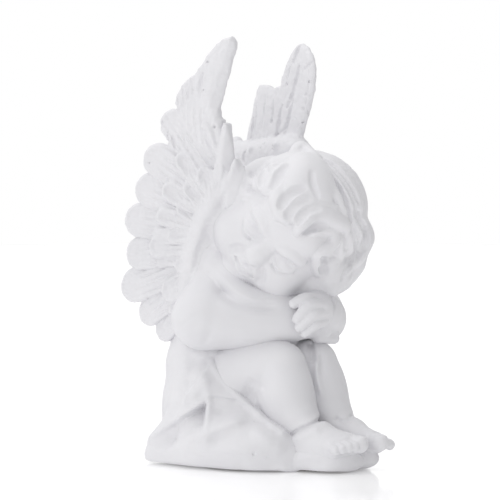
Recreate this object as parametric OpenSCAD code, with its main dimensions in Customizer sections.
// Seated cherub figurine, bonded from separate resin castings.
// Millimetres, +Z up. The figure faces -Y and its own right hand is on -X.
// The origin is on the underside of the felt pad, below the middle of the base.

/* [Base] */
// Height of the rock base under the feet
base_h = 4.8; // [4.4:0.1:5.2]
// Amount the felt stands proud of the rock base
felt_proud = 0.4; // [0.3:0.05:0.6]
// Thickness of the felt pad
felt_t = 1.2; // [1:0.1:1.5]

/* [Figure] */
// Radius of the skull
skull_r = 15.2; // [14.6:0.1:15.6]
// Radius of the cheeks and jaw
jaw_r = 11.8; // [11.2:0.1:12.2]
// Radius of the forearm at the elbow
arm_r = 6.2; // [6:0.1:6.6]
// Radius of the knee
knee_r = 6; // [5.7:0.1:6.3]
// Radius of the ankle
ankle_r = 4.3; // [4:0.1:4.6]

/* [Wings] */
// Thickness of one feather
feather_t = 1.7; // [1.4:0.1:2]
// Half width of a flight feather near its tip
feather_w = 3.9; // [3.6:0.1:4.2]
// Radius of the wing arm at its root
wing_arm_r = 4.6; // [4.2:0.1:4.8]

/* [Joints] */
// Diameter of the wing tenons
tenon_d = 4; // [3:0.5:4.5]
// Diameter of the neck spigot
neck_d = 7; // [6:0.5:8]
// Glue clearance round each spigot, on the radius
glue = 0.1; // [0.05:0.05:0.2]

/* [Hidden] */
resin = "whitesmoke";

// Discs that outline the rock base: x, y, radius
outline = [[-3.5, -17, 6.8], [5, -14.5, 6], [9, 13, 10.5], [-6, 15, 12.5], [-13, 3, 8]];

// Head frame: centre, then its left, crown and face directions
HC = [0.5, -2.4, 56.6];
HS = [0.416, -0.504, -0.752];
HT = [0.041, -0.819, 0.571];
HF = [-0.905, -0.269, -0.320];
function hp(s, t, f) = HC + s * HS + t * HT + f * HF;

// Wing frame: the flight feathers lie in one swept plane
wing_at = [-7.55, 11.94, 0];
wing_lean = [2.84, -2.84, 0];
wing_sweep = 103.2;

// Leading blade of the wing, three discs: along, up, radius
lead = [[-0.6, 98.15, 2.1], [4.6, 88.6, 5.4], [6.4, 76, 6.2]];
// Flight feathers: root (along, up), tip (along, up), share of the full width
primaries = [[3.7, 68, 12, 84.6, 0.95], [4.5, 64.5, 16.2, 78.8, 0.95], [5, 62, 20.4, 71.8, 1.0],
             [5, 59, 22.8, 64.8, 1.0], [5, 55.3, 25.2, 57.4, 1.0], [5.6, 51, 25.3, 50.4, 1.0],
             [6, 47, 26.6, 42.8, 1.0], [6, 43.6, 23.6, 36.4, 0.95], [6, 41, 18.4, 33, 0.85]];
coverts = [[2.4, 60, 10.4, 73, 0.72], [4, 60, 13, 66.6, 0.8], [4, 57, 15, 59.4, 0.85],
           [4, 53, 15.4, 52.6, 0.85], [4, 49, 14, 46, 0.85], [4, 45, 11.6, 40, 0.8]];

// ---- helpers -------------------------------------------------------------

module ball(p, r) { translate(p) sphere(r = r, $fn = 18); }

// Tapered limb along a list of [point, radius]
module limb(list) {
    for (i = [0 : len(list) - 2])
        hull() { ball(list[i][0], list[i][1]); ball(list[i + 1][0], list[i + 1][1]); }
}

function flip(p, side) = [p[0] * side, p[1], p[2]];

module footprint(grow) {
    hull() for (c = outline) translate([c[0], c[1]]) circle(r = c[2] + grow, $fn = 36);
}

module wing_frame() {
    translate(wing_at) rotate(wing_lean) rotate([90, 0, wing_sweep]) children();
}

// One feather as a flat blade with a round tip, in the wing frame
module feather(f, layer) {
    w = feather_w * f[4];
    hull() {
        translate([f[0], f[1], layer]) cylinder(r = w * 0.55, h = feather_t, $fn = 10);
        translate([(f[0] + f[2]) / 2, (f[1] + f[3]) / 2, layer]) cylinder(r = w, h = feather_t, $fn = 14);
        translate([f[2], f[3], layer + feather_t * 0.15]) cylinder(r = w, h = feather_t * 0.7, $fn = 18);
    }
}

// ---- pieces --------------------------------------------------------------

module felt_pad() {
    color("saddlebrown") linear_extrude(felt_t) footprint(-4);
}

module base() {
    color(resin) difference() {
        hull() {
            translate([0, 0, felt_proud]) linear_extrude(0.1) footprint(-2.4);
            translate([0, 0, felt_proud + 1.6]) linear_extrude(0.1) footprint(-0.4);
            translate([0, 0, base_h - 1.4]) linear_extrude(0.1) footprint(-0.6);
            translate([0, 0, base_h - 0.1]) linear_extrude(0.1) footprint(-2.6);
        }
        translate([0, 0, -1]) linear_extrude(1 + felt_t + 0.05) footprint(-3.8);
        // socket for the spigot under the torso
        translate([0, 14, 2.6]) cylinder(d = 8 + 2 * glue, h = 10, $fn = 48);
    }
}

module torso_mass() {
    hull() { ball([0, 14.5, 13.6], 9.6); ball([0, 13, 24], 9.2); }
    hull() { ball([0, 13, 24], 9.2); ball([0, 11.5, 36], 8.8); ball([0, 4.5, 30.5], 6.4); }
    hull() { ball([-7.2, 12.5, 41], 5.4); ball([7.2, 12.5, 41], 5.4); ball([0, 11.5, 34], 8.2); }
    hull() { ball([0, 11, 42], 6); ball([1.6, 8.4, 46], 5.4); }
}

module torso() {
    color(resin) union() {
        difference() {
            torso_mass();
            // flat seat on the rock base
            translate([-30, -20, -30]) cube([60, 70, 30 + base_h]);
            // neck socket, along the head's lean
            translate([1.2, 9, 43]) rotate([18, 8, 0]) cylinder(d = neck_d + 2 * glue, h = 14, $fn = 48);
            // wing sockets
            for (side = [-1, 1])
                translate([side * 3.4, 17.2, 37]) rotate([0, side * 90, 0]) cylinder(d = tenon_d + 2 * glue, h = 14, $fn = 40);
        }
        translate([0, 14, 2.8]) cylinder(d = 8, h = base_h - 2.7, $fn = 48);
    }
}

module leg_mass(side) {
    limb([[flip([8, 14, 14], side), 8.4], [flip([7.4, 8, 20.2], side), 8.6],
          [flip([5.2, -2.2, 23.2], side), knee_r], [flip([5.4, -6.4, 16.4], side), 5.5],
          [flip([5.6, -10.4, 9.6], side), ankle_r]]);
    // foot
    hull() { ball(flip([5.6, -10.4, 8.2], side), 4.2); ball(flip([5.8, -17, 6.8], side), 3.7); ball(flip([5.6, -8.6, 6.6], side), 3.2); }
    hull() { ball(flip([5.8, -17, 6.8], side), 3.7); ball(flip([3.6, -22.4, 6.4], side), 2.7); ball(flip([7.8, -20.4, 5.8], side), 2.3); }
    // toes, big toe on the inner side
    hull() { ball(flip([3.6, -22.4, 6.4], side), 2.5); ball(flip([3.3, -26.2, 6.2], side), 2.1); }
    for (i = [0 : 3])
        hull() {
            ball(flip([5.2 + i * 1.1, -21.6 + i * 0.5, 6.1 - i * 0.2], side), 1.6);
            ball(flip([5.7 + i * 1.25, -25 + i * 1.1, 5.5 - i * 0.2], side), 1.3 - i * 0.05);
        }
}

module leg(side) {
    color(resin) difference() {
        leg_mass(side);
        torso_mass();
        translate([-30, -40, -30]) cube([60, 80, 30 + base_h]);
        // the two legs meet on the middle plane
        translate([side > 0 ? -40 : 0.02, -40, -5]) cube([39.98, 80, 60]);
    }
}
module right_leg() { leg(-1); }
module left_leg() { leg(1); }

module right_arm_mass() {
    limb([[[-9.5, 12.5, 41.5], 6.2], [[-15.4, 10.4, 35], arm_r], [[-7, 3.4, 35.2], 5.9],
          [[1.4, -3.2, 35.4], 4.8], [[6, -4.6, 34.4], 3.9]]);
    // hand over the other elbow
    for (i = [0 : 3])
        hull() { ball([6 + i * 0.5, -4 + i * 0.6, 36 - i * 1.9], 1.8); ball([10.6 + i * 0.6, -4.4 + i, 35.4 - i * 1.8], 1.4); }
}

module right_arm() {
    color(resin) difference() {
        right_arm_mass();
        torso_mass();
        leg_mass(-1);
        leg_mass(1);
    }
}

module left_arm_mass() {
    limb([[[9.5, 12.5, 41], 6], [[12.8, 2.4, 35.4], 5.8], [[7, -4.8, 37], 4.4], [[3.6, -7.2, 37], 3.6]]);
    // fingers folded over the other forearm
    for (i = [0 : 3])
        hull() { ball([3.6 + i * 0.3, -7.8 - i * 0.1, 39.2 - i * 1.7], 1.7); ball([-0.8 + i * 0.6, -7.2 - i * 0.25, 37.2 - i * 1.7], 1.4); }
}

module left_arm() {
    color(resin) difference() {
        left_arm_mass();
        torso_mass();
        right_arm_mass();
        leg_mass(-1);
        leg_mass(1);
    }
}

module head_mass() {
    ball(hp(0, 1.5, -1), skull_r);
    hull() { ball(hp(0, -5.6, 3.4), jaw_r); ball(hp(0, -12.6, 8.4), 4.6); }
    ball(hp(0, -5.6, 14), 2.2);
    // hair over the brow, the crown and the nape
    hull() for (s = [-1, 1]) { ball(hp(s * 9, 5.5, 8.2), 5); ball(hp(s * 12, 3, -1), 4.6); ball(hp(s * 5, 12.4, 1), 4.2); }
    hull() for (s = [-1, 1]) { ball(hp(s * 11, 3, -6), 5.4); ball(hp(s * 9.6, -6, -7.4), 4.8); }
    // curls along the hairline
    for (i = [0 : 5]) ball(hp(13 * cos(i * 36), 5.4 + 3.4 * sin(i * 36), 3.4 + 8.6 * sin(i * 36)), 3.2);
    for (s = [-1, 1]) hull() { ball(hp(s * 14, -1.4, -1.6), 2); ball(hp(s * 14, -5.4, -1), 1.6); }
}

module head() {
    color(resin) difference() {
        union() {
            head_mass();
            translate([1.2, 9, 43.4]) rotate([18, 8, 0]) cylinder(d = neck_d, h = 12, $fn = 48);
        }
        difference() {
            torso_mass();
            translate([1.2, 9, 43]) rotate([18, 8, 0]) cylinder(d = neck_d + 2 * glue, h = 14, $fn = 48);
        }
        right_arm_mass();
        left_arm_mass();
        leg_mass(-1);
        leg_mass(1);
    }
}

module drape_mass() {
    // cloth round the hips
    hull() { ball([-8.6, 16.4, 23.6], 9); ball([-8, 15.6, 8], 13.2); ball([1, 15.4, 22], 10); ball([2, 15, 8], 13.6); }
    hull() { ball([6, 14.6, 20], 9.8); ball([9, 14, 8], 11.2); ball([0, 15, 8], 13.4); }
    // hip fold falling along the thigh
    hull() { ball([-12.6, 9, 21], 5); ball([-15, 4, 8], 6.2); ball([-14, 14, 9], 8.6); }
    // roll of cloth on the ground, rear corner to front end
    hull() { ball([-17.6, 21.6, 5.4], 4.9); ball([-19, 13, 5.4], 5.2); ball([-10, 22, 5.4], 5.4); ball([-11, 16, 5.6], 5.6); }
    hull() { ball([-19, 13, 5.4], 5.2); ball([-18.4, 3, 5.6], 5.6); ball([-13, 12, 6], 6); }
    hull() { ball([-18.4, 3, 5.6], 5.6); ball([-15.6, -6.4, 6], 5.8); ball([-13, 3, 8], 7); }
    hull() { ball([-15.6, -6.4, 6], 5.8); ball([-13, -12.4, 4.8], 4.6); ball([-12, -3, 7.6], 5); }
    // hem down to the ground
    hull() { ball([-16.5, 20, 1.4], 3.6); ball([-17, 3, 1.4], 4.6); ball([-12, -11.4, 1.4], 3.4); ball([6, 26, 1.4], 2.6); ball([18, 14, 1.4], 2.6); ball([8, 4, 1.4], 2.6); }
}

module drape() {
    color(resin) difference() {
        drape_mass();
        translate([-60, -60, -40]) cube([120, 120, 40 + felt_proud]);
        hull() {
            translate([0, 0, felt_proud]) linear_extrude(0.1) footprint(-2.4);
            translate([0, 0, felt_proud + 1.6]) linear_extrude(0.1) footprint(-0.4);
            translate([0, 0, base_h - 1.4]) linear_extrude(0.1) footprint(-0.6);
            translate([0, 0, base_h - 0.1]) linear_extrude(0.1) footprint(-2.6);
        }
        translate([0, 0, -1]) linear_extrude(1 + felt_t + 0.05) footprint(-3.8);
        torso_mass();
        leg_mass(-1);
        leg_mass(1);
        right_arm_mass();
        left_arm_mass();
        wing_mass();
        mirror([1, 0, 0]) wing_mass();
    }
}

module wing_mass() {
    wing_frame() {
        hull() for (d = lead) translate([d[0], d[1], -1.2]) cylinder(r = d[2], h = feather_t * 0.9, $fn = 20);
        for (i = [0 : len(primaries) - 1]) feather(primaries[i], -1.4 + 0.12 * i);
        for (i = [0 : len(coverts) - 1]) feather(coverts[i], -2.6 + 0.12 * i);
    }
    // wing arm along the leading edge
    wing_frame()
        limb([[[5.6, 38.6, -0.6], wing_arm_r], [[4.2, 48, -1], wing_arm_r], [[2.4, 58, -0.4], 4.2],
              [[2, 68, 0], 3.4], [[3.4, 80, 0], 2]]);
}

module right_wing() {
    color(resin) difference() {
        union() {
            wing_mass();
            translate([-9.8, 17.2, 37]) rotate([0, 90, 0]) cylinder(d = tenon_d, h = 6.2, $fn = 40);
        }
        difference() {
            torso_mass();
            translate([-3.4, 17.2, 37]) rotate([0, -90, 0]) cylinder(d = tenon_d + 2 * glue, h = 14, $fn = 40);
        }
        right_arm_mass();
        head_mass();
    }
}

module left_wing() {
    color(resin) difference() {
        union() {
            mirror([1, 0, 0]) wing_mass();
            translate([9.8, 17.2, 37]) rotate([0, -90, 0]) cylinder(d = tenon_d, h = 6.2, $fn = 40);
        }
        difference() {
            torso_mass();
            translate([3.4, 17.2, 37]) rotate([0, 90, 0]) cylinder(d = tenon_d + 2 * glue, h = 14, $fn = 40);
        }
        left_arm_mass();
        head_mass();
    }
}

felt_pad();
base();
torso();
right_leg();
left_leg();
right_arm();
left_arm();
head();
drape();
right_wing();
left_wing();
